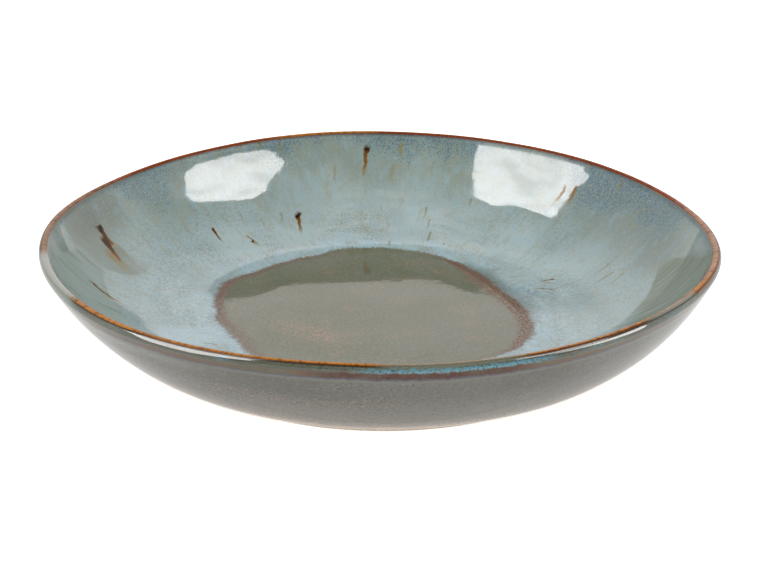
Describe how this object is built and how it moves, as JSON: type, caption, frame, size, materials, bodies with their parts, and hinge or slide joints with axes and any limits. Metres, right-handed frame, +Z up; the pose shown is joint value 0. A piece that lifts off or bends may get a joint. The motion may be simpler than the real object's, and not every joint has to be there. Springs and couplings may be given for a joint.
{
  "type": "salad bowl",
  "caption": "Large shallow stoneware salad bowl with a wavy hand-formed rim, amber lip, blue-grey speckled glaze, glaze pool in the well and a bare foot ring.",
  "frame": {"origin": "on the table, under the middle of the rim", "axes": "+Z up out of the bowl's mouth; -Y towards the side that faces the viewer"},
  "size_m": [0.3024, 0.3018, 0.0526],
  "materials": {
    "stoneware": "bare matt clay",
    "inside_glaze": "gloss, blue-grey speckle",
    "well_glaze": "gloss, olive grey",
    "amber_glaze": "gloss, amber brown",
    "overlap_glaze": "gloss, blue and mauve",
    "outside_glaze": "satin gloss, grey-green",
    "underside_glaze": "satin gloss, grey-green"
  },
  "bodies": {
    "root": {"stoneware_body": "stoneware", "interior_glaze": "inside_glaze", "well_glaze_pool": "well_glaze", "rim_glaze": "amber_glaze", "outer_lip_glaze": "overlap_glaze", "exterior_glaze": "outside_glaze", "underside_glaze": "underside_glaze"}
  },
  "joints": []
}
